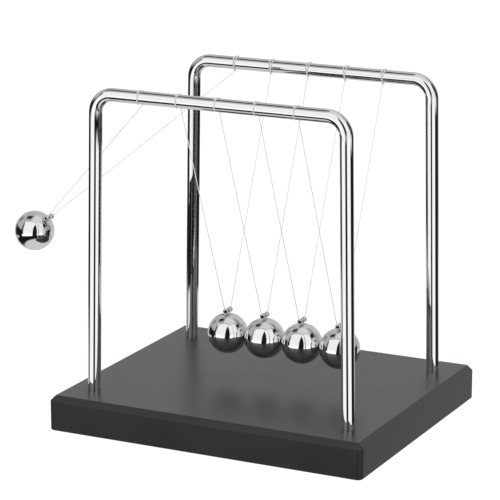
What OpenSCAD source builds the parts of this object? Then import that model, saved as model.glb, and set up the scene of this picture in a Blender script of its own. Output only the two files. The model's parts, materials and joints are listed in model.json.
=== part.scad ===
// Newton's cradle, desk size: five steel balls in a row, each on a V of
// monofilament line between two bent-rod rails on a flat board.
// Millimetres. X runs along the rails (the row of balls), Y from the front
// rail to the back rail, Z up. The origin is the centre of the underside of the
// felt sheet, on the table. The first ball is drawn aside, to the -X side; the
// other four hang in a row.

/* [Board] */

// Length of the board along the rails
board_l = 180.6; // [174:0.1:220]
// Width of the board, front to back
board_w = 152.6; // [140:0.1:190]
// Thickness of the board
board_t = 19; // [17.5:0.5:30]
// Bevel along the board's four top edges
board_bevel = 2.9; // [0.5:0.1:4]
// Bevel along the board's four bottom edges
board_foot_bevel = 0.5; // [0.2:0.1:1]
// Radius of the board's four upright corners
board_corner_r = 3; // [1:0.5:6]
// Thickness of the felt sheet under the board
sheet_t = 1; // [0.5:0.1:3]
// Margin between the felt sheet and the board's edges
sheet_inset = 3; // [1:0.5:8]

/* [Rod frames] */

// Diameter of the rod each frame is bent from
rod_d = 7; // [6:0.1:8]
// Height of the rails' centre lines above the table
rail_h = 180.3; // [165:0.1:220]
// Distance of each rail from the middle of the board, front and back
rail_y = 54.9; // [48:0.1:60]
// Distance of each leg from the middle of the board where it enters the board
foot_x = 74; // [70:0.5:80]
// Outward lean of the legs, degrees
leg_lean = 1.1; // [0:0.1:2]
// Lean of each frame towards the other one, degrees
frame_tilt = 0.36; // [0:0.02:0.6]
// Centre-line radius of the bends between legs and rail
bend_r = 10.3; // [7.3:0.5:14.3]
// Depth of the sockets the legs stand in
socket_depth = 11; // [9:0.5:11.5]

/* [Balls] */

// Ball diameter
ball_d = 22; // [18:0.1:22]
// Gap between neighbouring balls as they hang
ball_gap = 0.1; // [0.05:0.05:0.3]
// Height of the hanging balls' centres above the table
ball_h = 43.3; // [38:0.1:70]
// Shift of the whole row along the rails, from the middle of the board
row_shift = -0.6; // [-3:0.1:3]
// Angle the first ball is drawn aside, from hanging straight down
drawn_angle = 47.8; // [10:0.1:60]

/* [Line and eyelets] */

// Diameter of the monofilament line
line_d = 0.45; // [0.3:0.05:0.6]
// Outside diameter of the eyelet tube on each ball
eyelet_d = 3; // [2.4:0.1:3.1]
// Bore of the eyelet tube
eyelet_bore = 1.8; // [1.4:0.1:2]
// Length of the eyelet tube
eyelet_l = 6.3; // [5:0.1:8]
// Height of the eyelet tube's axis above the top of the ball
eyelet_rise = 1.6; // [1.55:0.05:3]
// Lean of a hitch's two inner turns to each side of its plane, degrees
hitch_spread = 12; // [11:1:15]
// Diameter of the knot under each hitch
knot_d = 1.3; // [1.2:0.1:1.6]

/* [Hidden] */

$fn = 64;
sides = [-1, 1];
cut_over = 1;          // how far cutters run past a surface
joint_extra = 0.02;    // extra radius of the spheres that cover joints
line_gap = 0.03;       // between the line and what it bears on
knot_gap = 0.02;       // between knots and what they lie against

black = [0.05, 0.05, 0.055];
felt = [0.09, 0.09, 0.09];
rod_metal = [0.82, 0.83, 0.84];
ball_steel = [0.8, 0.81, 0.82];
eyelet_metal = [0.6, 0.6, 0.58];
clear_line = [0.85, 0.87, 0.88];
fastener_metal = [0.7, 0.7, 0.68];

count = 5;
pitch = ball_d + ball_gap;
rod_r = rod_d / 2;
ball_r = ball_d / 2;
line_r = line_d / 2;
knot_r = knot_d / 2;
bore_r = eyelet_bore / 2;
board_top = sheet_t + board_t;
sheet_corner_r = 4;
socket_r = rod_r + 0.04;

// Each frame's plane is turned about the rail's centre line by frame_tilt. In
// it, a leg runs up from its foot point, leaning in, to the lower end of the
// quarter bend.
frame_drop = (rail_h - board_top) / cos(frame_tilt);
foot_y = rail_y + (rail_h - board_top) * tan(frame_tilt);
leg_rise = frame_drop - bend_r;
leg_len = leg_rise / cos(leg_lean);
bend_x = round((foot_x - bend_r - leg_rise * tan(leg_lean)) * 100) / 100;
leg_end_bevel = 0.5;

// Hitches: distances from the rail's centre line, and angles about it from
// level on the inner side: up to the crossing, down to the knot.
turn_r = rod_r + line_r + line_gap;
pair_r = turn_r / cos(hitch_spread);
crossing_angle = 75;
crossing_r = 0.5;
crossing_at = rod_r + crossing_r + knot_gap;
crossing_trim = 3;     // degrees the turns stop short of the crossing
knot_angle = 58;
knot_at = rod_r + knot_r + knot_gap;
knot_trim = 8;         // degrees the outer turn stops short of the knot

// The swinging line starts just past the knot.
bend_bead_r = line_r + joint_extra;
pivot_at = knot_at + knot_r + bend_bead_r + knot_gap;
pivot_y = rail_y - pivot_at * cos(knot_angle);
pivot_h = rail_h - pivot_at * sin(knot_angle);

// Eyelets: a tube across the top of the ball, on a short stem let into the ball
ball_top = ball_h + ball_r;
eyelet_h = ball_top + eyelet_rise;
stem_r = 0.9;
stem_hole_r = stem_r + 0.02;
stem_hole_depth = 4;
stem_depth = stem_hole_depth - 0.2;
line_in_eyelet = eyelet_h + bore_r - line_r - line_gap;
line_turn = eyelet_l / 2 + line_r + 0.12;

// Fasteners: M4 pan-head screws up into the rod ends, on washers
screw_r = 1.97;
screw_len = 12;
tapped_r = 2.02;
tapped_depth = 10;
screw_hole_r = 2.25;
screw_recess_r = 5.5;
screw_recess = 4.3;
washer_r = 4.5;
washer_hole_r = 2.15;
washer_t = 0.8;
head_r = 3.8;
head_t = 2.6;
head_bevel = 0.9;      // inwards
head_bevel_h = 0.6;
cross_l = 4;
cross_w = 0.9;
cross_depth = 1.6;
cross_over = 0.01;     // how far the cross is set out past the head

function row_x(n) = row_shift + (n - (count + 1) / 2) * pitch;
function swing(n) = n == 1 ? drawn_angle : 0;

// ---- placing

// At each leg: origin where its axis meets the board's top face, +Z up the leg
module at_legs()
  for (side_x = sides, side_y = sides)
    translate([side_x * foot_x, side_y * foot_y, board_top])
      rotate([side_y * frame_tilt, 0, 0])
        rotate([0, -side_x * leg_lean, 0])
          children();

// At each leg's washer: origin at its underside, where the screw head bears
module at_washers()
  at_legs() translate([0, 0, -board_t + screw_recess - washer_t]) children();

// Ball n's pendulum, swung about the line through its two pivots
module at_pendulum(n)
  translate([row_x(n), 0, pivot_h])
    rotate([0, swing(n), 0])
      translate([0, 0, -pivot_h])
        children();

// ---- board and sheet

// Board's outline across one direction, bevelled top and bottom
module board_outline(width)
  let (edge = width / 2, foot = edge - board_foot_bevel, top = edge - board_bevel,
       low = sheet_t + board_foot_bevel, high = board_top - board_bevel)
    polygon([[-foot, sheet_t], [foot, sheet_t], [edge, low], [edge, high],
             [top, board_top], [-top, board_top], [-edge, high], [-edge, low]]);

module rounded_outline(length, width, radius)
  union() {
    square([length - 2 * radius, width], center = true);
    square([length, width - 2 * radius], center = true);
    for (side_x = sides, side_y = sides)
      translate([side_x * (length / 2 - radius), side_y * (width / 2 - radius)]) circle(radius);
  }

// Bevelled board with four leg sockets, screw holes and recesses
module base() color(black)
  difference() {
    intersection() {
      rotate([90, 0, 0]) linear_extrude(board_w, center = true) board_outline(board_l);
      rotate([90, 0, 90]) linear_extrude(board_l, center = true) board_outline(board_w);
      linear_extrude(board_top + cut_over) rounded_outline(board_l, board_w, board_corner_r);
    }
    at_legs() {
      translate([0, 0, -socket_depth]) cylinder(h = socket_depth + cut_over, r = socket_r);
      translate([0, 0, -board_t - cut_over])
        cylinder(h = board_t - socket_depth + 2 * cut_over, r = screw_hole_r);
      translate([0, 0, -board_t - cut_over])
        cylinder(h = screw_recess + cut_over, r = screw_recess_r);
    }
  }

// Felt sheet glued under the board
module base_sheet() color(felt)
  linear_extrude(sheet_t)
    rounded_outline(board_l - 2 * sheet_inset, board_w - 2 * sheet_inset, sheet_corner_r);

// ---- frames, drawn about the rail's centre line

// Half the rail and its bend; the sphere covers the slight change of direction
// between bend and leg
module half_rail()
  union() {
    rotate([0, 90, 0]) cylinder(h = bend_x, r = rod_r);
    translate([bend_x, 0, -bend_r]) rotate([90, 0, 0])
      rotate_extrude(angle = 90) translate([bend_r, 0]) circle(rod_r);
    translate([bend_x + bend_r, 0, -bend_r]) sphere(rod_r + joint_extra);
  }

// Leaning leg with a bevelled, tapped lower end
module leg()
  translate([foot_x, 0, -frame_drop]) rotate([0, -leg_lean, 0])
    difference() {
      union() {
        translate([0, 0, -socket_depth + leg_end_bevel])
          cylinder(h = leg_len + socket_depth - leg_end_bevel, r = rod_r);
        translate([0, 0, -socket_depth])
          cylinder(h = leg_end_bevel, r1 = rod_r - leg_end_bevel, r2 = rod_r);
      }
      translate([0, 0, -socket_depth - cut_over])
        cylinder(h = tapped_depth + cut_over, r = tapped_r);
    }

module frame_half()
  union() {
    half_rail();
    leg();
  }

module rod_frame() color(rod_metal)
  union() {
    frame_half();
    mirror([1, 0, 0]) frame_half();
  }

module front_frame() translate([0, -rail_y, rail_h]) rotate([-frame_tilt, 0, 0]) rod_frame();
module rear_frame() translate([0, rail_y, rail_h]) rotate([frame_tilt, 0, 0]) rod_frame();

// ---- pendulums

// Ball with a blind hole in its top for the eyelet's stem
module ball(n) color(ball_steel)
  at_pendulum(n) translate([0, 0, ball_h])
    difference() {
      sphere(ball_r, $fn = 128);
      translate([0, 0, ball_r - stem_hole_depth])
        cylinder(h = stem_hole_depth + cut_over, r = stem_hole_r);
    }

// Eyelet: short tube along Y, on a stem
module eyelet(n) color(eyelet_metal)
  at_pendulum(n)
    difference() {
      union() {
        translate([0, 0, eyelet_h]) rotate([90, 0, 0])
          cylinder(h = eyelet_l, r = eyelet_d / 2, center = true);
        translate([0, 0, ball_top - stem_depth])
          cylinder(h = eyelet_rise + stem_depth - bore_r, r = stem_r);
      }
      translate([0, 0, eyelet_h]) rotate([90, 0, 0])
        cylinder(h = eyelet_l + 2 * cut_over, r = bore_r, center = true);
    }

// Straight length of line between two points
module strand(start, end)
  let (span = end - start, length = norm(span))
    translate(start)
      rotate([0, acos(span[2] / length), atan2(span[1], span[0])])
        cylinder(h = length, r = line_r);

// Line from pivot to pivot through the eyelet, with a bead at each bend and end
module line(n) color(clear_line)
  at_pendulum(n)
    let (points = [[0, -pivot_y, pivot_h], [0, -line_turn, line_in_eyelet],
                   [0, line_turn, line_in_eyelet], [0, pivot_y, pivot_h]])
      union() {
        for (i = [0, 2])
          union() {
            strand(points[i], points[i + 1]);
            for (j = [i, i + 1]) translate(points[j]) sphere(bend_bead_r);
          }
        strand(points[1], points[2]);
      }

// ---- hitches, drawn about the rail's centre line with the inner side towards +Y

// Part turn of line round the rail, between two angles
module turn(start, end, radius, spread)
  rotate([0, 0, spread]) rotate([90, 0, 90]) rotate([0, 0, start])
    rotate_extrude(angle = end - start) translate([radius, 0]) circle(line_r);

module bead(angle, distance, radius)
  translate([0, distance * cos(angle), distance * sin(angle)]) sphere(radius);

// One turn on the outer side, two spread turns on the inner side, the crossing
// near the top and the knot the swinging line hangs from
module hitch()
  union() {
    turn(crossing_angle + crossing_trim, 360 - knot_angle - knot_trim, turn_r, 0);
    turn(-knot_angle, crossing_angle - crossing_trim, pair_r, hitch_spread);
    turn(-knot_angle, crossing_angle - crossing_trim, pair_r, -hitch_spread);
    bead(crossing_angle, crossing_at, crossing_r);
    bead(-knot_angle, knot_at, knot_r);
  }

module front_hitch(n) color(clear_line)
  translate([row_x(n), -rail_y, rail_h]) rotate([0, 0, 180]) mirror([0, 1, 0]) hitch();
module rear_hitch(n) color(clear_line)
  translate([row_x(n), rail_y, rail_h]) mirror([0, 1, 0]) hitch();

// ---- fasteners

module cross_recess()
  linear_extrude(cross_depth) union() {
    square([cross_l, cross_w], center = true);
    square([cross_w, cross_l], center = true);
  }

// Pan-head screws with a cross recess
module frame_screws() color(fastener_metal)
  at_washers()
    difference() {
      union() {
        translate([0, 0, -head_t + head_bevel_h])
          cylinder(h = head_t - head_bevel_h, r = head_r);
        translate([0, 0, -head_t])
          cylinder(h = head_bevel_h, r1 = head_r - head_bevel, r2 = head_r);
        cylinder(h = screw_len, r = screw_r);
      }
      translate([0, 0, -head_t - cross_over]) cross_recess();
    }

module frame_washers() color(fastener_metal)
  at_washers()
    difference() {
      cylinder(h = washer_t, r = washer_r);
      translate([0, 0, -cut_over]) cylinder(h = washer_t + 2 * cut_over, r = washer_hole_r);
    }

base();
base_sheet();
front_frame();
rear_frame();
ball(1);  // ball_1
ball(2);  // ball_2
ball(3);  // ball_3
ball(4);  // ball_4
ball(5);  // ball_5
eyelet(1);  // eyelet_1
eyelet(2);  // eyelet_2
eyelet(3);  // eyelet_3
eyelet(4);  // eyelet_4
eyelet(5);  // eyelet_5
line(1);  // line_1
line(2);  // line_2
line(3);  // line_3
line(4);  // line_4
line(5);  // line_5
front_hitch(1);  // front_hitch_1
front_hitch(2);  // front_hitch_2
front_hitch(3);  // front_hitch_3
front_hitch(4);  // front_hitch_4
front_hitch(5);  // front_hitch_5
rear_hitch(1);  // rear_hitch_1
rear_hitch(2);  // rear_hitch_2
rear_hitch(3);  // rear_hitch_3
rear_hitch(4);  // rear_hitch_4
rear_hitch(5);  // rear_hitch_5
frame_screws();
frame_washers();
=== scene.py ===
import json
import math

import bmesh
import bpy
import numpy as np
from mathutils import Matrix, Vector
from mathutils.geometry import delaunay_2d_cdt


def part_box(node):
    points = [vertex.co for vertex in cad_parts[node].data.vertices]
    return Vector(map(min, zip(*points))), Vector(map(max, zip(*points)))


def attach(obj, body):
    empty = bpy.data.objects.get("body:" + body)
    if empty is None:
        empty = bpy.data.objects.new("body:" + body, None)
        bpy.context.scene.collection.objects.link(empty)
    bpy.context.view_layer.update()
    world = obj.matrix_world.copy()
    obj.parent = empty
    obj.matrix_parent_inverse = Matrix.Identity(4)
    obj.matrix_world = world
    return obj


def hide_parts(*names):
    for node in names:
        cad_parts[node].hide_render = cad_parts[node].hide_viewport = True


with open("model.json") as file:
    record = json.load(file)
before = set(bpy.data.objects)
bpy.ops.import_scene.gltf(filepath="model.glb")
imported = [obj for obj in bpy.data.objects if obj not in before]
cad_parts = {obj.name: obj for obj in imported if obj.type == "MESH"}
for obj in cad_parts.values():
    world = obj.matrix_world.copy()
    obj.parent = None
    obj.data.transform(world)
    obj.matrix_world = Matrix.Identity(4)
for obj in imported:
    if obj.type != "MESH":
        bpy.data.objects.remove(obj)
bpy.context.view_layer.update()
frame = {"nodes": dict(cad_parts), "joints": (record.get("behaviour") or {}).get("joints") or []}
MM = 0.001
TAU = 2 * math.pi
cad_nodes = frame["nodes"]
joints = {joint["name"]: joint for joint in frame["joints"]}

# ------------------------------------------------------------------ sizes, read from the CAD frame
base_lo, base_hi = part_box("base")
sheet_lo, sheet_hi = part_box("base_sheet")
front_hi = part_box("front_frame")[1]
rear_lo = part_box("rear_frame")[0]
ball_lo, ball_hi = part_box("ball_3")
eyelet_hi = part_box("eyelet_3")[1]

# board: half sizes, heights, and the sockets the legs stand in
BOARD_X, BOARD_Y = base_hi.x, base_hi.y
BOARD_BOTTOM, BOARD_TOP = base_lo.z, base_hi.z
BOARD_CORNER_R = 3 * MM
SOCKET = 11 * MM  # depth

# rod frames
ROD_R = 3.5 * MM
RAIL_Z = front_hi.z - ROD_R
FRONT_Y, REAR_Y = front_hi.y - ROD_R, rear_lo.y + ROD_R
LEAN = math.radians(1.1)  # of a leg, inwards along X
TILT = math.radians(0.36)  # of a whole frame, inwards along Y
DROP = (RAIL_Z - BOARD_TOP) / math.cos(TILT)  # rail to board, in the frame's plane
FOOT_X = 74 * MM  # leg axis at the board's top
BEND_R = 10.3 * MM
LEG_POINTS = 24  # path points on a leg, from its end to the start of the bend

# pendulums
BALL_R = (ball_hi.x - ball_lo.x) / 2 - 0.02 * MM
BALL_Z = (ball_lo.z + ball_hi.z) / 2
EYE_R = 1.5 * MM  # eyelet flange
BORE_R = 0.9 * MM
EYE_Z = eyelet_hi.z - EYE_R
EYE_HALF = eyelet_hi.y  # half length
PIVOT_Z = joints["swing_3"]["pos_m"][2]
PIVOT_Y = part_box("line_3")[1].y - 0.245 * MM
LINE_R = 0.225 * MM
ROW_X = [joints["swing_%d" % n]["pos_m"][0] for n in range(1, 6)]


# ------------------------------------------------------------------ mesh helpers
def shade(piece, smooth_angle=35.0):
    """Smooth shading, with edges sharper than the angle kept crisp."""
    data = piece.data
    data.polygons.foreach_set("use_smooth", [True] * len(data.polygons))
    mesh = bmesh.new()
    mesh.from_mesh(data)
    limit = math.radians(smooth_angle)
    for edge in mesh.edges:
        edge.smooth = not (len(edge.link_faces) == 2 and edge.calc_face_angle(0.0) > limit)
    mesh.to_mesh(data)
    mesh.free()
    data.update()


def new_object(name, mesh, smooth_angle=35.0):
    bmesh.ops.recalc_face_normals(mesh, faces=mesh.faces[:])
    data = bpy.data.meshes.new(name)
    mesh.to_mesh(data)
    mesh.free()
    piece = bpy.data.objects.new(name, data)
    bpy.context.scene.collection.objects.link(piece)
    shade(piece, smooth_angle)
    return piece


def ring(mesh, points):
    return [mesh.verts.new(point) for point in points]


def bridge(mesh, first, second):
    count = len(first)
    for i in range(count):
        j = (i + 1) % count
        mesh.faces.new((first[i], first[j], second[j], second[i]))


def skin(mesh, rings):
    for first, second in zip(rings, rings[1:]):
        bridge(mesh, first, second)


def fan(mesh, rim, centre):
    tip = mesh.verts.new(centre)
    for i in range(len(rim)):
        mesh.faces.new((rim[i], rim[(i + 1) % len(rim)], tip))


def circle(radius, z, segments):
    """Points of a level circle about Z."""
    angles = [TAU * i / segments for i in range(segments)]
    return [Vector((radius * math.cos(a), radius * math.sin(a), z)) for a in angles]


def tube_ring(mesh, centre, across, upward, radius, segments):
    """Ring of vertices in the plane of two unit vectors."""
    angles = [TAU * i / segments for i in range(segments)]
    return ring(mesh, [centre + (across * math.cos(a) + upward * math.sin(a)) * radius
                       for a in angles])


def lathe(mesh, profile, segments, place):
    """Closed solid of revolution about local Z. Profile: (radius, z), both ends on the axis."""
    rings = [ring(mesh, [place(point) for point in circle(radius, z, segments)])
             for radius, z in profile[1:-1]]
    fan(mesh, rings[0], place(Vector((0, 0, profile[0][1]))))
    skin(mesh, rings)
    fan(mesh, rings[-1], place(Vector((0, 0, profile[-1][1]))))


def frames_along(path):
    """Tangent and two twist-free normals at each point of a path."""
    last = len(path) - 1
    tangents = [(path[min(i + 1, last)] - path[max(i - 1, 0)]).normalized()
                for i in range(last + 1)]
    normal = Vector((0, 0, 1)) if abs(tangents[0].z) < 0.9 else Vector((1, 0, 0))
    normal = (normal - tangents[0] * normal.dot(tangents[0])).normalized()
    frames = []
    for i, tangent in enumerate(tangents):
        if i:
            normal = (normal - tangent * normal.dot(tangent)).normalized()
        frames.append((tangent, normal, tangent.cross(normal)))
    return frames


def sweep(mesh, path, radius, segments=12):
    """Closed round tube along a path, with domed ends."""
    frames = frames_along(path)

    def end_ring(index, outward, degrees):
        tangent, across, upward = frames[index]
        angle = math.radians(degrees)
        centre = path[index] + tangent * radius * (outward * math.sin(angle))
        return tube_ring(mesh, centre, across, upward, radius * math.cos(angle), segments)

    dome = (28, 55, 80)
    rings = [end_ring(0, -1, degrees) for degrees in dome[::-1]]
    for point, (_, across, upward) in zip(path, frames):
        rings.append(tube_ring(mesh, point, across, upward, radius, segments))
    rings += [end_ring(-1, 1, degrees) for degrees in dome]
    skin(mesh, rings)
    fan(mesh, rings[0], path[0] - frames[0][0] * radius)
    fan(mesh, rings[-1], path[-1] + frames[-1][0] * radius)


def closed_sweep(mesh, path, radius, segments):
    """Round tube along a closed path."""
    count = len(path)
    rings = []
    normal = None
    for i in range(count):
        tangent = (path[(i + 1) % count] - path[(i - 1) % count]).normalized()
        if normal is None:
            normal = tangent.orthogonal().normalized()
        normal = (normal - tangent * normal.dot(tangent)).normalized()
        rings.append(tube_ring(mesh, path[i], normal, tangent.cross(normal), radius, segments))
    skin(mesh, rings)
    # the frame has turned a little by the end of the loop: join with the nearest shift
    last, first = rings[-1], rings[0]

    def gap(shift):
        return sum((last[k].co - first[(k + shift) % segments].co).length
                   for k in range(segments))

    best = min(range(segments), key=gap)
    bridge(mesh, last, first[best:] + first[:best])


def round_corner(before, corner, after, radius, steps=4):
    """Points of the arc that rounds a corner between two straight runs, in 2D or 3D."""
    before, corner, after = Vector(before), Vector(corner), Vector(after)
    toward, away = (before - corner).normalized(), (after - corner).normalized()
    angle = toward.angle(away)
    setback = radius / math.tan(angle / 2)
    centre = corner + (toward + away).normalized() * (radius / math.sin(angle / 2))
    start = corner + toward * setback - centre
    end = corner + away * setback - centre
    total = start.angle(end)
    points = []
    for i in range(steps + 1):
        part = i / steps
        mixed = start * math.sin((1 - part) * total) + end * math.sin(part * total)
        points.append(centre + mixed / math.sin(total))
    return points


def boolean(piece, tool, operation):
    modifier = piece.modifiers.new("b", "BOOLEAN")
    modifier.operation = operation
    modifier.object = tool
    modifier.solver = "EXACT"
    depsgraph = bpy.context.evaluated_depsgraph_get()
    data = bpy.data.meshes.new_from_object(piece.evaluated_get(depsgraph))
    piece.modifiers.clear()
    piece.data = data
    bpy.data.objects.remove(tool)


# ------------------------------------------------------------------ node helpers
class Nodes:
    """Short names for building the node tree of a material or world."""

    def __init__(self, owner, output_kind="ShaderNodeOutputMaterial"):
        owner.use_nodes = True
        self.owner = owner
        self.tree = owner.node_tree
        self.tree.nodes.clear()
        self.output = self.add(output_kind)

    def fill(self, node, inputs):
        """Links or sets inputs, given by name or index."""
        for key, value in inputs.items():
            if isinstance(value, bpy.types.NodeSocket):
                self.tree.links.new(value, node.inputs[key])
            else:
                node.inputs[key].default_value = value

    def add(self, kind, inputs=None, **properties):
        node = self.tree.nodes.new(kind)
        for key, value in properties.items():
            setattr(node, key, value)
        self.fill(node, inputs or {})
        return node

    def finish(self, shader):
        self.fill(self.output, {0: shader})
        return self.owner

    def principled(self, inputs):
        return self.add("ShaderNodeBsdfPrincipled", inputs).outputs[0]

    def math(self, operation, *values):
        inputs = dict(enumerate(values))
        return self.add("ShaderNodeMath", inputs, operation=operation).outputs[0]

    def remap(self, value, span, to=(0.0, 1.0), smooth=False):
        inputs = {"Value": value, "From Min": span[0], "From Max": span[1],
                  "To Min": to[0], "To Max": to[1]}
        kind = "SMOOTHSTEP" if smooth else "LINEAR"
        return self.add("ShaderNodeMapRange", inputs, interpolation_type=kind).outputs["Result"]

    def noise(self, coords, scale, detail=3.0, roughness=0.5, distortion=0.0):
        inputs = {"Vector": coords, "Scale": scale, "Detail": detail,
                  "Roughness": roughness, "Distortion": distortion}
        return self.add("ShaderNodeTexNoise", inputs).outputs["Fac"]

    def mapping(self, coords, **inputs):
        return self.add("ShaderNodeMapping", {"Vector": coords, **inputs}).outputs["Vector"]

    def split(self, vector):
        return self.add("ShaderNodeSeparateXYZ", {0: vector}).outputs

    def mix(self, factor, low, high, data_type="RGBA"):
        inputs = {"Factor": factor, "A": low, "B": high}
        return self.add("ShaderNodeMix", inputs, data_type=data_type).outputs["Result"]

    def mix_value(self, factor, low, high):
        return self.mix(factor, low, high, data_type="FLOAT")

    def bump(self, height, strength, distance):
        inputs = {"Height": height, "Strength": strength, "Distance": distance}
        return self.add("ShaderNodeBump", inputs).outputs["Normal"]


def new_material(name):
    nodes = Nodes(bpy.data.materials.new(name))
    return nodes, nodes.add("ShaderNodeTexCoord").outputs["Object"]


def rgb(red, green, blue):
    return (red, green, blue, 1.0)


# ------------------------------------------------------------------ materials
def chrome(name, tint, roughness, streak_scale, streak_stretch, streak_strength, seed=0.0):
    """Bright polished metal: faint streaks, and a little haze and smudging in the gloss."""
    nodes, coords = new_material(name)
    coords = nodes.mapping(coords, Location=(seed, seed * 0.7, -seed))
    haze = nodes.noise(coords, scale=55.0, detail=4.0, roughness=0.55)
    smudge = nodes.noise(coords, scale=210.0, roughness=0.6, distortion=0.6)
    streaks = nodes.noise(nodes.mapping(coords, Scale=streak_stretch),
                          scale=streak_scale, detail=2.0, roughness=0.6)
    hazy = nodes.mix_value(nodes.remap(haze, span=(0.42, 0.68)),
                           low=roughness * 0.7, high=roughness * 1.6)
    smudged = nodes.remap(smudge, span=(0.56, 0.74), to=(0.0, roughness * 0.7))
    dimmed = rgb(*[channel * 0.975 for channel in tint])
    return nodes.finish(nodes.principled({
        "Metallic": 1.0,
        "Roughness": nodes.math("ADD", hazy, smudged),
        "Base Color": nodes.mix(nodes.remap(haze, span=(0.3, 0.75)), low=dimmed, high=rgb(*tint)),
        "Normal": nodes.bump(streaks, strength=streak_strength, distance=0.00002),
    }))


def eyelet_material():
    """Worn nickel with turning marks."""
    nodes, coords = new_material("eyelet_nickel")
    worn = nodes.noise(coords, scale=1400.0, detail=4.0, roughness=0.6)
    turned = nodes.noise(nodes.mapping(coords, Scale=(1.0, 9.0, 1.0)), scale=900.0, detail=2.0)
    return nodes.finish(nodes.principled({
        "Base Color": nodes.mix(nodes.remap(worn, span=(0.35, 0.7)),
                                low=rgb(0.62, 0.62, 0.61), high=rgb(0.76, 0.76, 0.755)),
        "Metallic": 1.0,
        "Roughness": nodes.remap(worn, span=(0.3, 0.7), to=(0.14, 0.26)),
        "Normal": nodes.bump(turned, strength=0.12, distance=0.00003),
    }))


def bore_shade_material():
    """Unpolished inside of the eyelets, with painted shade: the very dark colour stands in for the
    shade inside the bore.
    """
    nodes, coords = new_material("eyelet_bore")
    # mottled near-black colour: painted shade inside the bore
    bore_shade_mottle = nodes.noise(coords, scale=1200.0, roughness=0.6)
    return nodes.finish(nodes.principled({
        "Base Color": nodes.mix(bore_shade_mottle, low=rgb(0.03, 0.03, 0.03), high=rgb(0.08, 0.08, 0.078)),
        "Metallic": 0.8,
        "Roughness": 0.6,
    }))


def line_material():
    """Clear nylon: milky through its thickness, with a soft gloss and a very faint texture."""
    nodes, coords = new_material("nylon_line")
    grain = nodes.noise(coords, scale=900.0, detail=2.0)
    gloss = nodes.principled({
        "Base Color": nodes.mix(grain, low=rgb(0.74, 0.745, 0.75), high=rgb(0.82, 0.825, 0.83)),
        "Roughness": 0.38,
        "IOR": 1.53,
        "Specular IOR Level": 0.4,
        "Normal": nodes.bump(grain, strength=0.05, distance=0.00001),
    })
    # light from behind comes through
    through = nodes.add("ShaderNodeBsdfTranslucent", {"Color": rgb(0.92, 0.925, 0.93)})
    through_share = 0.35
    mixed = nodes.add("ShaderNodeMixShader", {0: through_share, 1: gloss, 2: through.outputs[0]})
    return nodes.finish(mixed.outputs[0])


def board_material():
    """Black satin lacquer: fine spray texture, cloudy gloss and a little dust."""
    nodes, coords = new_material("black_lacquer")
    spray = nodes.noise(coords, scale=1500.0, detail=2.0)
    cloud = nodes.noise(coords, scale=26.0, detail=4.0, roughness=0.55)
    dust = nodes.noise(coords, scale=5200.0, detail=1.0)
    lacquer = nodes.mix(nodes.remap(cloud, span=(0.35, 0.7)),
                        low=rgb(0.0150, 0.0149, 0.0153), high=rgb(0.0195, 0.0192, 0.0195))
    satin = nodes.mix_value(nodes.remap(cloud, span=(0.3, 0.7)), low=0.30, high=0.36)
    fine = nodes.remap(spray, span=(0.3, 0.7), to=(-0.03, 0.03))
    return nodes.finish(nodes.principled({
        "Base Color": nodes.mix(nodes.remap(dust, span=(0.73, 0.8), to=(0.0, 0.35)),
                                low=lacquer, high=rgb(0.07, 0.07, 0.07)),
        "Roughness": nodes.math("ADD", satin, fine),
        "IOR": 1.48,
        "Specular IOR Level": 0.5,
        "Normal": nodes.bump(spray, strength=0.10, distance=0.00004),
    }))


def felt_material():
    nodes, coords = new_material("black_felt")
    fibre = nodes.noise(nodes.mapping(coords, Scale=(1.0, 1.3, 1.0)),
                        scale=1900.0, detail=5.0, roughness=0.7, distortion=1.5)
    tuft = nodes.noise(coords, scale=420.0, roughness=0.6)
    tuft_weight = 0.8
    height = nodes.math("ADD", fibre, nodes.math("MULTIPLY", tuft, tuft_weight))
    return nodes.finish(nodes.principled({
        "Base Color": nodes.mix(nodes.remap(fibre, span=(0.3, 0.7)),
                                low=rgb(0.012, 0.012, 0.013), high=rgb(0.05, 0.05, 0.052)),
        "Roughness": 0.95,
        "Sheen Weight": 0.35,
        "Sheen Roughness": 0.6,
        "Normal": nodes.bump(height, strength=0.6, distance=0.0002),
    }))


def zinc_material():
    """Zinc plate: the gloss varies from grain to grain."""
    nodes, coords = new_material("zinc_plate")
    grain = nodes.add("ShaderNodeTexVoronoi", {"Vector": coords, "Scale": 900.0})
    mottle = nodes.noise(coords, scale=600.0)
    return nodes.finish(nodes.principled({
        "Base Color": nodes.mix(nodes.remap(mottle, span=(0.3, 0.7)),
                                low=rgb(0.46, 0.47, 0.47), high=rgb(0.64, 0.65, 0.66)),
        "Metallic": 1.0,
        "Roughness": nodes.remap(grain.outputs["Distance"], span=(0.0, 0.8), to=(0.26, 0.42)),
        "Normal": nodes.bump(mottle, strength=0.15, distance=0.00004),
    }))


CHROME = chrome("rod_chrome", tint=(0.83, 0.835, 0.845), roughness=0.014, streak_scale=700.0,
                streak_stretch=(1.0, 1.0, 0.05), streak_strength=0.002)
STEEL = [chrome("ball_steel_%d" % n, tint=(0.83, 0.828, 0.83), roughness=0.012,
                streak_scale=1500.0, streak_stretch=(1.0, 0.35, 0.35), streak_strength=0.003,
                seed=0.37 * n) for n in range(1, 6)]
# material with painted shade for the inside of the eyelets
BORE_SHADE = bore_shade_material()
NICKEL = eyelet_material()
NYLON = line_material()
LACQUER = board_material()
FELT = felt_material()
ZINC = zinc_material()


def set_material(piece, material):
    piece.data.materials.clear()
    piece.data.materials.append(material)


def dress(piece, material, body, replaced):
    set_material(piece, material)
    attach(piece, body)
    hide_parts(replaced)


# ------------------------------------------------------------------ the board and its felt
def rounded_rect(half_x, half_y, radius, per_corner=8):
    points = []
    for side_x, side_y, start in ((1, 1, 0), (-1, 1, 90), (-1, -1, 180), (1, -1, 270)):
        for i in range(per_corner + 1):
            angle = math.radians(start + 90 * i / per_corner)
            points.append((side_x * (half_x - radius) + radius * math.cos(angle),
                           side_y * (half_y - radius) + radius * math.sin(angle)))
    return points


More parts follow.
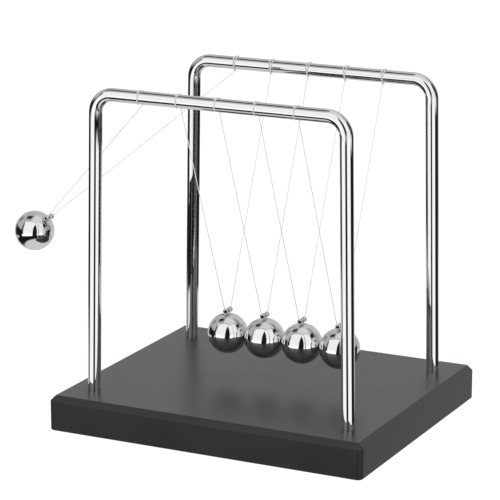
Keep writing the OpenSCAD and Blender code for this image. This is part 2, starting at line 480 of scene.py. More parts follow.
def rect_ring(mesh, half_x, half_y, radius, z):
    return ring(mesh, [Vector((x, y, z)) for x, y in rounded_rect(half_x, half_y, radius)])


def leg_axis(side, rail_y, z):
    """Where the axis of a leg (side +1 right, -1 left) passes height z."""
    return Vector((side * (FOOT_X - (z - BOARD_TOP) * math.tan(LEAN)),
                   rail_y + math.copysign((RAIL_Z - z) * math.tan(TILT), rail_y), z))


def fill_around(mesh, outer, holes):
    """Fills a flat level face that has round holes in it; all are vertex rings."""
    verts = outer + [vertex for hole in holes for vertex in hole]
    flat = [Vector((vertex.co.x, vertex.co.y)) for vertex in verts]
    loops, first = [], 0
    for loop in [outer] + holes:
        loops.append(list(range(first, first + len(loop))))
        first += len(loop)
    edges = [(loop[i], loop[(i + 1) % len(loop)]) for loop in loops for i in range(len(loop))]

    def centroid(ids):
        return sum((flat[i] for i in ids), Vector((0, 0))) / len(ids)

    discs = [(centroid(loop), (flat[loop[0]] - centroid(loop)).length * 0.999)
             for loop in loops[1:]]
    result = delaunay_2d_cdt(flat, edges, [], 0, 1e-9, True)
    faces, sources = result[2], result[3]
    for face in faces:
        ids = [sources[i][0] for i in face]
        middle = centroid(ids)
        if not any((middle - centre).length < radius for centre, radius in discs):
            mesh.faces.new([verts[i] for i in ids])


def board_rings(mesh):
    """Outline rings from the underside up; the bottom edge has a small bevel, the top a wide one."""
    top_bevel, bottom_bevel = 2.9 * MM, 0.5 * MM
    # side profile: (inset, z)
    corners = [
        (bottom_bevel * 3, BOARD_BOTTOM), (bottom_bevel, BOARD_BOTTOM),
        (0, BOARD_BOTTOM + bottom_bevel), (0, BOARD_TOP - top_bevel),
        (top_bevel, BOARD_TOP), (top_bevel * 2, BOARD_TOP),
    ]
    profile = []
    for i, radius in enumerate((0.25 * MM, 0.3 * MM, 0.45 * MM, 0.4 * MM)):
        profile += round_corner(*corners[i:i + 3], radius)
    return [rect_ring(mesh, BOARD_X - inset, BOARD_Y - inset,
                      max(BOARD_CORNER_R - inset, 0.35 * MM), z) for inset, z in profile]


def leg_hole_profile():
    """(radius, z) from the top: softened rim, socket, screw hole, recess in the underside."""
    lip, socket_r = 0.3 * MM, ROD_R + 0.04 * MM
    screw_r, recess_r, recess_top = 2.25 * MM, 5.5 * MM, BOARD_BOTTOM + 4.3 * MM
    rim = [(socket_r + lip, BOARD_TOP)]
    for degrees in (30, 60, 90):
        angle = math.radians(degrees)
        rim.append((socket_r + lip * (1 - math.sin(angle)),
                    BOARD_TOP - lip * (1 - math.cos(angle))))
    return rim + [
        (socket_r, BOARD_TOP - SOCKET), (screw_r, BOARD_TOP - SOCKET), (screw_r, recess_top),
        (recess_r, recess_top), (recess_r, BOARD_BOTTOM + 0.2 * MM),
        (recess_r + 0.2 * MM, BOARD_BOTTOM),
    ]


def make_board():
    mesh = bmesh.new()
    rings = board_rings(mesh)
    skin(mesh, rings)
    tops, bottoms = [], []
    for side in (-1, 1):
        for rail_y in (FRONT_Y, REAR_Y):
            hole = []
            for radius, z in leg_hole_profile():
                centre = leg_axis(side, rail_y, z)
                hole.append(ring(mesh, [centre + point for point in circle(radius, 0, 64)]))
            skin(mesh, hole)
            tops.append(hole[0])
            bottoms.append(hole[-1])
    fill_around(mesh, rings[-1], tops)
    fill_around(mesh, rings[0], bottoms)
    board = new_object("board", mesh, 30)
    even = board.modifiers.new("even_normals", "WEIGHTED_NORMAL")
    even.mode = "FACE_AREA"
    even.weight = 80
    even.keep_sharp = True
    dress(board, LACQUER, "stand", "base")


def make_sheet():
    """Felt sheet under the board: rounded corners, soft edges."""
    mesh = bmesh.new()
    soft, corner_r = 0.3 * MM, 4 * MM
    bottom, top = sheet_lo.z, sheet_hi.z
    angles = [math.radians(degrees) for degrees in (0, 30, 60, 90)]
    # side profile: (inset, z)
    profile = [(soft * 2.4, bottom)]
    profile += [(soft - soft * math.sin(a), bottom + soft - soft * math.cos(a)) for a in angles]
    profile += [(soft - soft * math.cos(a), top - soft + soft * math.sin(a)) for a in angles]
    rings = [rect_ring(mesh, sheet_hi.x - inset, sheet_hi.y - inset, corner_r - inset, z)
             for inset, z in profile]
    skin(mesh, rings)
    mesh.faces.new(rings[0][::-1])
    mesh.faces.new(rings[-1])
    dress(new_object("felt_sheet", mesh, 50), FELT, "stand", "base_sheet")


# ------------------------------------------------------------------ the rod frames
def frame_path():
    """Upright centre line from the right leg's end up, over the rail and down the left leg."""
    bend_z = RAIL_Z - BEND_R
    foot_z = RAIL_Z - DROP
    bend_x = FOOT_X - (bend_z - foot_z) * math.tan(LEAN) - BEND_R / math.cos(LEAN)

    def on_bend(angle):
        return Vector((bend_x + BEND_R * math.cos(angle), 0, bend_z + BEND_R * math.sin(angle)))

    end = Vector((FOOT_X + SOCKET * math.sin(LEAN), 0, foot_z - SOCKET * math.cos(LEAN)))
    leg = on_bend(LEAN) - end
    half = [end, end + leg.normalized() * 0.5 * MM]
    half += [end + leg * float(part) for part in np.linspace(0.05, 1.0, LEG_POINTS - 2)[:-1]]
    half += [on_bend(LEAN + (math.pi / 2 - LEAN) * i / 32) for i in range(33)]
    half += [Vector((bend_x * (1 - float(part)), 0, RAIL_Z))
             for part in np.linspace(0, 1, 16)[1:-1]]
    return half + [Vector((0, 0, RAIL_Z))] + [Vector((-p.x, 0, p.z)) for p in half[::-1]]


def make_frame(name, rail_y, replaced):
    # the frame's plane leans in about the rail's centre line
    turn = Matrix.Rotation(math.copysign(TILT, rail_y), 4, "X")
    rail = Vector((0, 0, RAIL_Z))
    path = [Vector((0, rail_y, RAIL_Z)) + turn @ (point - rail) for point in frame_path()]
    normal = turn @ Vector((0, 1, 0))
    segments = 72
    last = len(path) - 1
    mesh = bmesh.new()

    def rod_ring(centre, tangent, radius):
        return tube_ring(mesh, centre, tangent.cross(normal).normalized(), normal,
                         radius, segments)

    rings = []
    for i, point in enumerate(path):
        if i < LEG_POINTS:
            along = path[LEG_POINTS - 1] - path[0]
        elif i > last - LEG_POINTS:
            along = path[-1] - path[-LEG_POINTS]
        else:
            along = path[i + 1] - path[i - 1]
        chamfer = 0.5 * MM if i in (0, last) else 0
        rings.append(rod_ring(point, along.normalized(), ROD_R - chamfer))
    skin(mesh, rings)
    # holes in the leg ends: (radius, depth)
    hole = [(2.2 * MM, 0.0), (2.02 * MM, 0.2 * MM), (2.02 * MM, 9.4 * MM), (1.2 * MM, 10 * MM)]
    for i, neighbour in ((0, 1), (last, last - 1)):
        inward = (path[neighbour] - path[i]).normalized()
        walls = [rings[i]]
        for radius, depth in hole:
            walls.append(rod_ring(path[i] + inward * depth, inward, radius))
            bridge(mesh, walls[-2], walls[-1])
        fan(mesh, walls[-1], path[i] + inward * 10.4 * MM)
    dress(new_object(name, mesh, 30), CHROME, "stand", replaced)


# ------------------------------------------------------------------ pendulums
def pendulum_matrix(n):
    """Turns a piece built hanging under its pivots to where the CAD frame has it at rest."""
    low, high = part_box("ball_%d" % n)
    centre = (low + high) / 2
    x = ROW_X[n - 1]
    angle = math.atan2(x - centre.x, PIVOT_Z - centre.z)
    if abs(angle) < 1e-4:
        angle = 0.0
    return (Matrix.Translation((x, 0, PIVOT_Z)) @ Matrix.Rotation(angle, 4, "Y")
            @ Matrix.Translation((0, 0, -PIVOT_Z)))


def make_ball(n):
    """Ball with a drilled hole at its top."""
    hang = pendulum_matrix(n)
    hole_r, soft = 0.92 * MM, 0.12 * MM
    stop = math.asin((hole_r + soft) / BALL_R)
    bands = 84
    profile = [(0.0, -BALL_R)]
    for i in range(1, bands):
        angle = -math.pi / 2 + (math.pi - stop) * i / (bands - 1)
        profile.append((BALL_R * math.cos(angle), BALL_R * math.sin(angle)))
    rim_z = BALL_R * math.cos(stop)
    profile += [
        (hole_r + soft * 0.35, rim_z - soft * 0.25), (hole_r, rim_z - soft),
        (hole_r, BALL_R - 3.7 * MM), (0.0, BALL_R - 4 * MM),
    ]
    mesh = bmesh.new()
    lathe(mesh, profile, 144, lambda point: hang @ (point + Vector((0, 0, BALL_Z))))
    ball = new_object("ball_polished_%d" % n, mesh, 40)
    dress(ball, STEEL[n - 1], "pendulum_%d" % n, "ball_%d" % n)


def eyelet_profile():
    """(radius, z) of the tube, end to end: a rolled flange at each end, a swage ring midway."""
    body_r = 1.3 * MM
    flange = (EYE_R - body_r) * 0.5 + 0.16 * MM
    half = []
    for degrees in (100, 75, 50, 25, 0, -25, -50):
        angle = math.radians(degrees)
        half.append((EYE_R - flange + flange * math.cos(angle),
                     EYE_HALF - flange + flange * math.sin(angle)))
    swage_z, swage_r = 0.42 * MM, body_r + 0.07 * MM
    half += [
        (body_r - 0.06 * MM, EYE_HALF - 2.05 * flange), (body_r, EYE_HALF - 2.7 * flange),
        (body_r, swage_z * 1.5), (swage_r, swage_z), (swage_r, swage_z * 0.3),
    ]
    cap = EYE_HALF - 0.004 * MM
    return [(0.0, -cap)] + [(radius, -z) for radius, z in half] + half[::-1] + [(0.0, cap)]


def stem_profile():
    """(radius, z) of the stem, which spreads into a small foot on the ball."""
    top = BALL_Z + BALL_R
    tip = EYE_Z - 0.8 * MM
    return [
        (0.0, top - 3.8 * MM), (0.8 * MM, top - 3.8 * MM), (0.9 * MM, top - 3.65 * MM),
        (0.9 * MM, top - 0.16 * MM), (1.42 * MM, top - 0.05 * MM), (1.44 * MM, top + 0.03 * MM),
        (1.3 * MM, top + 0.13 * MM), (1.12 * MM, top + 0.3 * MM), (1.05 * MM, tip), (0.0, tip),
    ]


def bore_profile():
    """(radius, z) of the tool that cuts the bore, flared at both ends."""
    flare, overrun = 0.22 * MM, 1 * MM
    half = [(0.0, -EYE_HALF - overrun), (BORE_R + flare, -EYE_HALF - overrun),
            (BORE_R + flare, -EYE_HALF)]
    for degrees in (25, 50, 75, 90):
        angle = math.radians(degrees)
        half.append((BORE_R + flare * (1 - math.sin(angle)),
                     -EYE_HALF + flare * (1 - math.cos(angle))))
    return half + [(radius, -z) for radius, z in half[::-1]]


def make_eyelet(n):
    """Short flanged tube along Y on a stem; its bore has a material of its own, with painted shade.
    """
    turn = Matrix.Rotation(math.radians(-90), 4, "X")

    def lie_down(point):
        return turn @ point + Vector((0, 0, EYE_Z))

    def turned(name, profile, segments, place):
        mesh = bmesh.new()
        lathe(mesh, profile, segments, place)
        return new_object(name, mesh)

    tube = turned("eyelet_tube_%d" % n, eyelet_profile(), 56, lie_down)
    boolean(tube, turned("tool", stem_profile(), 40, lambda point: point), "UNION")
    boolean(tube, turned("tool", bore_profile(), 48, lie_down), "DIFFERENCE")
    # faces of the bore, which get the painted shade, told by their distance from the tube's axis
    in_bore = [int(math.hypot(face.center.x, face.center.z - EYE_Z) < BORE_R + 0.06 * MM
                   and abs(face.center.y) < EYE_HALF - 0.05 * MM) for face in tube.data.polygons]
    tube.data.transform(pendulum_matrix(n))
    shade(tube, 30)
    dress(tube, NICKEL, "pendulum_%d" % n, "eyelet_%d" % n)
    # the bore faces get the material with painted shade
    tube.data.materials.append(BORE_SHADE)
    tube.data.polygons.foreach_set("material_index", in_bore)


def make_line(n):
    """Line from the front pivot down through the eyelet and up to the rear pivot."""
    eye_z = EYE_Z + BORE_R - LINE_R - 0.03 * MM
    eye_y = EYE_HALF + LINE_R + 0.12 * MM
    corners = [Vector((0, -PIVOT_Y, PIVOT_Z)), Vector((0, -eye_y, eye_z)),
               Vector((0, eye_y, eye_z)), Vector((0, PIVOT_Y, PIVOT_Z))]
    path = [corners[0]]
    for i in (0, 1):
        path += round_corner(*corners[i:i + 3], 0.3 * MM, steps=8)
    path.append(corners[-1])
    # more points along the long strands, so that they stay round and even
    dense = [path[0]]
    for start, end in zip(path, path[1:]):
        steps = max(1, int((end - start).length / (6 * MM)))
        dense += [start.lerp(end, (i + 1) / steps) for i in range(steps)]
    mesh = bmesh.new()
    sweep(mesh, dense, LINE_R)
    line = new_object("strand_%d" % n, mesh, 60)
    line.data.transform(pendulum_matrix(n))
    dress(line, NYLON, "pendulum_%d" % n, "line_%d" % n)


# ------------------------------------------------------------------ hitches on the rails
# A hitch is built round a rail along local X, with the inner side towards +Y.
# Angles are in degrees: 0 is the inner side, 90 the top.
STRAND_START = -52
CROSSING = 122


def smooth_step(value):
    value = min(1.0, max(0.0, value))
    return value * value * (3 - 2 * value)


def round_rail(degrees, x=0.0, lift=0.0):
    angle = math.radians(degrees)
    radius = ROD_R + LINE_R + 0.02 * MM + lift
    return Vector((x, radius * math.cos(angle), radius * math.sin(angle)))


def strand(turn, steps, spread, merge, end_lift, lift_from, lift_over):
    """Strand that leaves the knot, bows sideways by spread up the inner side, returns to the
    middle within merge degrees past the top, and lifts off the rail from lift_from on."""
    points = []
    for i in range(steps + 1):
        degrees = STRAND_START + i * turn / steps
        gone = degrees - STRAND_START
        bow = smooth_step(gone / 100) * (1 - smooth_step((degrees - 82) / merge))
        lift = 0.30 * MM * (1 - smooth_step(gone / 14))
        lift += end_lift * smooth_step((degrees - lift_from) / lift_over)
        points.append(round_rail(degrees, spread * bow, lift))
    return points


def crossing_turn():
    """The second strand's end, taken once round the first strand."""
    centre = round_rail(CROSSING)
    angle = math.radians(CROSSING)
    radial = Vector((0, math.cos(angle), math.sin(angle)))
    along = Vector((0, -math.sin(angle), math.cos(angle)))
    points = []
    for i in range(1, 19):
        phase = math.radians(90 + i * 22)
        rise = math.sin(phase)
        lift = max(0.0, rise) * 0.46 * MM + min(0.0, rise) * 0.02 * MM
        points.append(centre + radial * lift + Vector((1, 0, 0)) * math.cos(phase) * -0.47 * MM
                      + along * (i * 0.028 * MM))
    return points


def knot_path(centre):
    """A small overhand knot: a trefoil drawn tight, facing away from the rail's axis."""
    across = Vector((1, 0, 0))
    outward = centre.normalized()
    upward = outward.cross(across)
    points = []
    for i in range(64):
        angle = TAU * i / 64
        radius = 0.30 * MM * (1 + 0.38 * math.cos(3 * angle))
        points.append(centre + across * radius * math.cos(2 * angle)
                      + upward * radius * math.sin(2 * angle)
                      + outward * 0.20 * MM * math.sin(3 * angle))
    return points


def make_hitch(n, side):
    """Side -1: front rail, +1: rear rail."""
    rail_y = FRONT_Y if side < 0 else REAR_Y
    flip = Matrix.Scale(-1, 4, (0, 1, 0)) if side > 0 else Matrix.Identity(4)
    place = Matrix.Translation((ROW_X[n - 1], rail_y, RAIL_Z)) @ flip
    knot = round_rail(-58, lift=0.42 * MM)
    mesh = bmesh.new()
    # first strand: up the inner side, over the top, down the outer side and back underneath
    sweep(mesh, strand(turn=294, steps=60, spread=0.78 * MM, merge=55,
                       end_lift=0.30 * MM, lift_from=232, lift_over=14), LINE_R)
    # second strand: up the inner side to the crossing past the top
    second = strand(turn=172, steps=40, spread=-0.78 * MM, merge=46,
                    end_lift=0.44 * MM, lift_from=96, lift_over=22)
    sweep(mesh, second + crossing_turn(), LINE_R)
    closed_sweep(mesh, knot_path(knot), LINE_R * 0.92, 10)
    # standing part: from the knot to the pivot the swinging line starts from
    pivot = Vector((0, abs(rail_y) - PIVOT_Y, PIVOT_Z - RAIL_Z))
    sweep(mesh, [knot, knot.lerp(pivot, 0.5), pivot.lerp(knot, 0.12)], LINE_R)
    # short cut tail
    tail = ((0.45, 0.05, -0.3), (0.85, 0.25, -0.55), (1.1, 0.5, -0.7))
    sweep(mesh, [knot] + [knot + Vector(offset) * MM for offset in tail], LINE_R * 0.95, 10)
    for vertex in mesh.verts:
        vertex.co = place @ vertex.co
    which = "front" if side < 0 else "rear"
    hitch = new_object("%s_wrap_%d" % (which, n), mesh, 60)
    dress(hitch, NYLON, "stand", "%s_hitch_%d" % (which, n))


make_board()
make_sheet()
make_frame("front_rod", FRONT_Y, "front_frame")
make_frame("rear_rod", REAR_Y, "rear_frame")
for k in range(1, 6):
    make_ball(k)
    make_eyelet(k)
    make_line(k)
    make_hitch(k, -1)
    make_hitch(k, 1)


# ------------------------------------------------------------------ CAD nodes
def dress_fasteners():
    """Screws and washers keep their CAD shape, with softened edges."""
    for name in ("frame_screws", "frame_washers"):
        set_material(cad_nodes[name], ZINC)
        bevel = cad_nodes[name].modifiers.new("soften", "BEVEL")
        bevel.width = 0.12 * MM
        bevel.segments = 2
        bevel.limit_method = "ANGLE"
        bevel.angle_limit = math.radians(40)
        bevel.harden_normals = False


def hidden_material(name):
    """The material of the piece that stands for a hidden CAD node."""
    if name == "base":
        return LACQUER
    if name == "base_sheet":
        return FELT
    if name.endswith("frame"):
        return CHROME
    if name.startswith("ball"):
        return STEEL[0]
    return NICKEL if name.startswith("eyelet") else NYLON


dress_fasteners()
for node_name, cad_node in cad_nodes.items():
    if cad_node.hide_render:
        set_material(cad_node, hidden_material(node_name))


# ------------------------------------------------------------------ floor
def floor_material():
    """Pale and matt, lifted a little for the camera, clear from below."""
    nodes = Nodes(bpy.data.materials.new("pale_floor"))
    matt = nodes.add("ShaderNodeBsdfDiffuse", {"Color": rgb(0.86, 0.86, 0.86)})
    camera_lift = 0.62
    seen = nodes.add("ShaderNodeLightPath").outputs["Is Camera Ray"]
    glow = nodes.add("ShaderNodeEmission",
                     {"Strength": nodes.math("MULTIPLY", seen, camera_lift)})
    lit = nodes.add("ShaderNodeAddShader", {0: matt.outputs[0], 1: glow.outputs[0]})
    clear = nodes.add("ShaderNodeBsdfTransparent")
    from_below = nodes.add("ShaderNodeNewGeometry").outputs["Backfacing"]
    mixed = nodes.add("ShaderNodeMixShader",
                      {0: from_below, 1: lit.outputs[0], 2: clear.outputs[0]})
    return nodes.finish(mixed.outputs[0])


def make_floor():
    mesh = bmesh.new()
    half, cells, z = 6.0, 24, -0.06 * MM
    stations = [-half + 2 * half * i / cells for i in range(cells + 1)]
    grid = [[mesh.verts.new((x, y, z)) for y in stations] for x in stations]
    for i in range(cells):
        for j in range(cells):
            mesh.faces.new((grid[i][j], grid[i + 1][j], grid[i + 1][j + 1], grid[i][j + 1]))
    floor = new_object("floor", mesh)
    floor.data.materials.append(floor_material())
    floor.visible_glossy = False


make_floor()

# ------------------------------------------------------------------ studio dome
# What the chrome reflects is painted on a dome round the set, as a function of direction from
# its middle; it is seen in reflections only. Azimuth is 0 in front and 90 on the right,
# elevation 90 overhead, both in degrees.
DOME_R = 0.8
DOME_AT = Vector((0.0, 0.0, 0.09))
DARK = 0.012  # light of the dark cards

dome = Nodes(bpy.data.materials.new("studio_dome"))


def vector_math(operation, inputs):
    return dome.add("ShaderNodeVectorMath", inputs, operation=operation).outputs


def bearing(sine, cosine):
    return dome.math("DEGREES", dome.math("ARCTAN2", sine, cosine))


def inverse(mask):
    return dome.math("SUBTRACT", 1.0, mask)


def above(value, edge, soft):
    """0 below the edge, 1 above it; the edge may itself be a value."""
    return dome.remap(dome.math("SUBTRACT", value, edge), span=(-soft, soft), smooth=True)


def below(value, edge, soft):
    return inverse(above(value, edge, soft))


def band(value, low, high, soft, soft_high=None):
    """The pair of masks that bound a value."""
    return above(value, low, soft), below(value, high, soft_high or soft)


def all_of(*masks):
    product = masks[0]
    for mask in masks[1:]:
        product = dome.math("MULTIPLY", product, mask)
    return product


def patch(azimuth, elevation, soft):
    """Soft-edged rectangle; each argument is a pair, soft is for azimuth and elevation."""
    return all_of(*band(az, *azimuth, soft=soft[0]), *band(el, *elevation, soft=soft[1]))


def paint(*masks, light):
    """Puts a light level over what is painted so far, where all masks are 1."""
    dome.light = dome.mix_value(all_of(*masks), dome.light, light)


# direction
geometry = dome.add("ShaderNodeNewGeometry").outputs
from_middle = vector_math("SUBTRACT", {0: geometry["Position"], 1: DOME_AT})[0]
direction = vector_math("NORMALIZE", {0: from_middle})[0]
dir_x, dir_y, dir_z = dome.split(direction)
az = bearing(dir_x, dome.math("MULTIPLY", dir_y, -1.0))
el = dome.math("DEGREES", dome.math("ARCSINE", dir_z))

# where the reflection starts, and the azimuth it leaves in: some cards are seen by the frames only
ray_length = dome.add("ShaderNodeLightPath").outputs["Ray Length"]
ray_back = vector_math("SCALE", {0: geometry["Incoming"], "Scale": ray_length})[0]
from_x, from_y, from_z = dome.split(vector_math("ADD", {0: geometry["Position"], 1: ray_back})[0])
incoming_x, incoming_y, _ = dome.split(geometry["Incoming"])
ray_az = bearing(dome.math("MULTIPLY", incoming_x, -1.0), incoming_y)

board_edge = {"edge": BOARD_TOP + 0.6 * MM, "soft": 0.3 * MM}
on_frame = all_of(above(dome.math("ABSOLUTE", from_y), 0.030, soft=0.004),
                  above(from_z, **board_edge))
on_leg = all_of(on_frame, above(dome.math("ABSOLUTE", from_x), 0.055, soft=0.008),
                below(from_z, 0.170, soft=0.004))
off_frame = inverse(on_frame)
on_board = below(from_z, **board_edge)
# lower edge of the dark parts in front
low_edge = dome.remap(az, span=(-90, 40), to=(-48.0, -37.0))


def paint_room():
    """Walls and ceiling: dimmest on the left, brightest overhead; a pale table below."""
    dome.light = dome.mix_value(above(az, 20.0, soft=60.0), low=0.50, high=0.56)
    paint(above(dome.math("ABSOLUTE", az), 150.0, soft=30.0), light=0.60)
    paint(on_board, above(dome.math("ABSOLUTE", az), 100.0, soft=30.0),
          above(el, 0.0, soft=6.0), light=0.84)
    paint(above(el, 60.0, soft=6.0), above(dir_x, -0.26, soft=0.05),
          below(dir_y, 0.42, soft=0.08), light=0.77)
    paint(below(el, -40.0, soft=5.0), light=0.70)


def paint_overhead_bar():
    """Dark bar overhead on the left, parallel to the rails."""
    tilt = bearing(dir_y, dir_z)
    paint(on_frame, *band(tilt, -7.0, 11.0, soft=3),
          *band(dir_x, -0.68, -0.15, soft=0.04, soft_high=0.05),
          above(dir_z, 0.3, soft=0.1), light=0.008)
    paint(off_frame, *band(tilt, -12.0, 13.0, soft=6, soft_high=5),
          *band(dir_x, -0.70, -0.35, soft=0.06, soft_high=0.09),
          above(dir_z, 0.3, soft=0.1), light=0.035)


def paint_sides():
    """Dim patches, dark cards and narrow bright strips on the right and left."""
    # dim corner and dark slanting streak, up on the right and behind
    paint(patch(azimuth=(104, 140), elevation=(8, 44), soft=(8, 8)), light=0.26)
    streak_az = dome.remap(el, span=(26.0, 52.0), to=(102.0, 157.0))
    streak = dome.math("ABSOLUTE", dome.math("SUBTRACT", az, streak_az))
    paint(below(streak, 10.0, soft=4), *band(el, 22.0, 54.0, soft=5),
          light=dome.remap(el, span=(36.0, 52.0), to=(0.012, 0.16)))
    paint(patch(azimuth=(89, 122), elevation=(25, 44), soft=(4, 4)), light=DARK)
    paint(patch(azimuth=(96, 150), elevation=(2, 20), soft=(6, 4)), light=0.40)
    # dim streak up on the left
    paint(off_frame, patch(azimuth=(-108, -96), elevation=(12, 30), soft=(4, 6)), light=0.12)
    # dark cards
    paint(off_frame, patch(azimuth=(-106, -50), elevation=(-44, 6), soft=(4, 4)), light=DARK)
    paint(off_frame, patch(azimuth=(96, 138), elevation=(-44, 2), soft=(5, 4)), light=0.014)
    paint(on_frame, patch(azimuth=(-122, -46), elevation=(-44, 16), soft=(5, 6)), light=DARK)
    paint(on_frame, patch(azimuth=(104, 150), elevation=(-44, 26), soft=(4, 14)), light=DARK)
    # bright strips
    paint(patch(azimuth=(-152, -62), elevation=(-22, -16.5), soft=(6, 2)), light=0.62)
    paint(inverse(on_board), patch(azimuth=(136, 185), elevation=(-22, -12), soft=(6, 3)),
          light=0.75)
    paint(patch(azimuth=(86, 97), elevation=(-10, 9), soft=(3, 3)), light=0.78)


def under_plane(slope, azimuth):
    """1 under a plane through the middle of the set that rises towards an azimuth."""
    angle = math.radians(azimuth)
    normal = Vector((slope * math.sin(angle), -slope * math.cos(angle), -1)).normalized()
    height = vector_math("DOT_PRODUCT", {0: direction, 1: normal})["Value"]
    return dome.remap(height, span=(-0.025, 0.025), smooth=True)


def by_el(span, to, smooth=False):
    return dome.remap(el, span=span, to=to, smooth=smooth)


def paint_sheets():
    """Two white sheets in front, brighter low down, with faint folds, and a dark gap between."""
    # dark band below the sheets
    paint(*band(az, -80, 92, soft=6), below(el, -12.0, soft=4), above(el, low_edge, soft=4),
          light=0.010)
    folds = dome.noise(dome.mapping(direction, Scale=(1.0, 1.0, 0.12)), scale=26.0, detail=2.0)
    glow = dome.math("MULTIPLY", by_el(span=(-14.0, 4.0), to=(1.34, 1.05), smooth=True),
                     dome.remap(folds, span=(0.35, 0.65), to=(0.955, 1.03)))
    # left sheet, with a thin dark frame on its outer side
    left = dome.math("SUBTRACT", by_el(span=(-15.0, -7.0), to=(-56.0, -46.5), smooth=True),
                     dome.math("ADD", by_el(span=(-6.0, 27.0), to=(0.0, 4.0)),
                               by_el(span=(27.0, 50.0), to=(0.0, 24.0))))
    frame_width = 9.0
    paint(above(az, dome.math("SUBTRACT", left, frame_width), soft=3), below(az, 0.0, soft=2),
          *band(el, -12.0, 34, soft=2.5, soft_high=5), light=0.02)
    paint(*band(az, left, 26.0, soft=3, soft_high=2), above(el, -19.0, soft=2.5),
          under_plane(slope=1.88, azimuth=2), light=glow)
    # right sheet
    right = dome.math("ADD", by_el(span=(-15.0, -7.0), to=(84.0, 77.0), smooth=True),
                      dome.math("ADD", by_el(span=(-7.0, 24.0), to=(0.0, 7.0)),
                                by_el(span=(24.0, 50.0), to=(0.0, 12.0))))
    paint(*band(az, 22.0, right, soft=2, soft_high=3), above(el, -19.0, soft=2.5),
          under_plane(slope=1.75, azimuth=50), light=glow)
    # the gap: wide at the bottom and closing near the top
    middle = dome.math("ADD", by_el(span=(-15.0, 5.0), to=(21.5, 23.6)),
                       by_el(span=(15.0, 45.0), to=(0.0, 0.8)))
    half = dome.math("SUBTRACT", by_el(span=(-15.0, 15.0), to=(14.5, 13.0)),
                     dome.math("ADD", by_el(span=(15.0, 33.0), to=(0.0, 2.6)),
                               by_el(span=(33.0, 56.0), to=(0.0, 10.4))))
    distance = dome.math("ABSOLUTE", dome.math("SUBTRACT", az, middle))
    paint(above(half, distance, soft=2.2), below(el, 55.0, soft=4),
          above(el, low_edge, soft=4), inverse(on_leg), light=DARK)


def paint_for_legs():
    """The sheets and gap as the legs see them, down to the board, and cards for some legs."""
    paint(on_leg, *band(az, -60.0, 108.0, soft=3), below(el, 8.0, soft=6), light=1.12)
    paint(on_leg, *band(az, 9.0, 38.4, soft=3), below(el, 24.0, soft=8), light=DARK)
    left_rear = all_of(on_leg, below(from_x, 0.0, soft=0.01), above(from_y, 0.0, soft=0.01))
    left_front = all_of(on_leg, below(from_x, 0.0, soft=0.01), below(from_y, 0.0, soft=0.01))
    # all legs but the left rear one
    others = all_of(on_leg, inverse(left_rear))
    paint(others, *band(az, 20.0, 60.0, soft=3), below(el, 24.0, soft=8), light=1.12)
    paint(others, *band(az, 1.5, 31.0, soft=3), below(el, 24.0, soft=8), light=DARK)
    paint(others, *band(az, 81.0, 143.0, soft=3, soft_high=4),
          below(from_z, 0.166, soft=0.006), light=DARK)
    # left front leg, near its top
    paint(left_front, above(ray_az, 14.0, soft=5), above(from_z, 0.158, soft=0.006), light=DARK)
    paint(left_front, above(ray_az, 70.0, soft=5), above(from_z, 0.1535, soft=0.004), light=DARK)
    # left rear leg: a dark card on its inner side, dim bands near its foot
    edge = dome.remap(from_z, span=(0.108, 0.116), to=(-70.0, 12.0), smooth=True)
    off_inner = dome.math("ABSOLUTE", dome.math("SUBTRACT", ray_az, 76.0))
    inner = inverse(dome.remap(off_inner, span=(8.0, 30.0), smooth=True))
    paint(left_rear, above(ray_az, edge, soft=4), above(from_z, 0.048, soft=0.004),
          light=dome.mix_value(inner, low=0.014, high=0.085))
    paint(left_rear, *band(ray_az, 40.0, 118.0, soft=8, soft_high=10),
          below(from_z, 0.070, soft=0.010), light=0.22)
    paint(left_rear, *band(ray_az, 10.0, 36.0, soft=10, soft_high=8),
          below(from_z, 0.050, soft=0.006), light=0.06)
    paint(left_rear, *band(ray_az, -24.0, 10.0, soft=10),
          below(from_z, 0.050, soft=0.006), light=0.18)


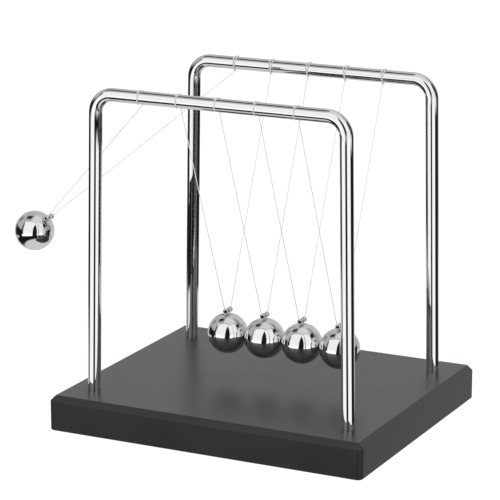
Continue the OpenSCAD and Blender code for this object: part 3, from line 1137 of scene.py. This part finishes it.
def dome_material():
    paint_room()
    paint_overhead_bar()
    paint_sides()
    paint_sheets()
    paint_for_legs()
    # the lacquer shows a slightly dimmer, faintly violet room
    strength = dome.math("MULTIPLY", dome.light, dome.mix_value(on_board, low=1.0, high=0.86))
    color = dome.mix(on_board, low=rgb(1.0, 1.0, 1.0), high=rgb(1.0, 0.955, 1.015))
    glow = dome.add("ShaderNodeEmission", {"Color": color, "Strength": strength})
    material = dome.finish(glow.outputs[0])
    material.cycles.emission_sampling = "NONE"
    return material


def make_dome():
    mesh = bmesh.new()
    bmesh.ops.create_icosphere(mesh, subdivisions=6, radius=DOME_R)
    bmesh.ops.translate(mesh, verts=mesh.verts[:], vec=DOME_AT)
    shell = new_object("studio_dome", mesh)
    shell.data.materials.append(dome_material())
    for rays in ("camera", "diffuse", "transmission", "volume_scatter", "shadow"):
        setattr(shell, "visible_" + rays, False)


def make_world():
    """Soft room light, a little stronger from above; plain white where the camera looks past."""
    world = bpy.data.worlds.new("studio")
    bpy.context.scene.world = world
    nodes = Nodes(world, "ShaderNodeOutputWorld")
    height = nodes.split(nodes.add("ShaderNodeTexCoord").outputs["Generated"])["Z"]
    room = nodes.remap(height, span=(-0.2, 0.9), to=(0.95, 1.35), smooth=True)
    seen = nodes.add("ShaderNodeLightPath").outputs["Is Camera Ray"]
    light = nodes.mix_value(seen, low=room, high=1.05)
    grey = nodes.add("ShaderNodeCombineColor", {0: light, 1: light, 2: light}).outputs[0]
    background = nodes.add("ShaderNodeBackground", {"Color": grey, "Strength": 1.0})
    nodes.finish(background.outputs[0])


make_dome()
make_world()


# ------------------------------------------------------------------ camera
def make_camera():
    """Looks from the front, a little from the right and above."""
    azimuth, elevation = math.radians(26.401), math.radians(14.589)
    target, distance = Vector((-0.009103, -0.0005, 0.091176)), 1.3419
    back = Vector((math.sin(azimuth) * math.cos(elevation),
                   -math.cos(azimuth) * math.cos(elevation), math.sin(elevation)))
    camera = bpy.data.objects.new("camera", bpy.data.cameras.new("camera"))
    bpy.context.scene.collection.objects.link(camera)
    camera.location = target + back * distance
    camera.rotation_mode = "QUATERNION"
    camera.rotation_quaternion = (-back).to_track_quat("-Z", "Y")
    camera.data.sensor_width = 36.0
    camera.data.lens = 181.30
    camera.data.clip_start, camera.data.clip_end = 0.05, 50.0
    bpy.context.scene.camera = camera


make_camera()
view = bpy.context.scene.view_settings
view.view_transform = "Standard"
view.look = "None"
view.exposure = 0.0
view.gamma = 1.0
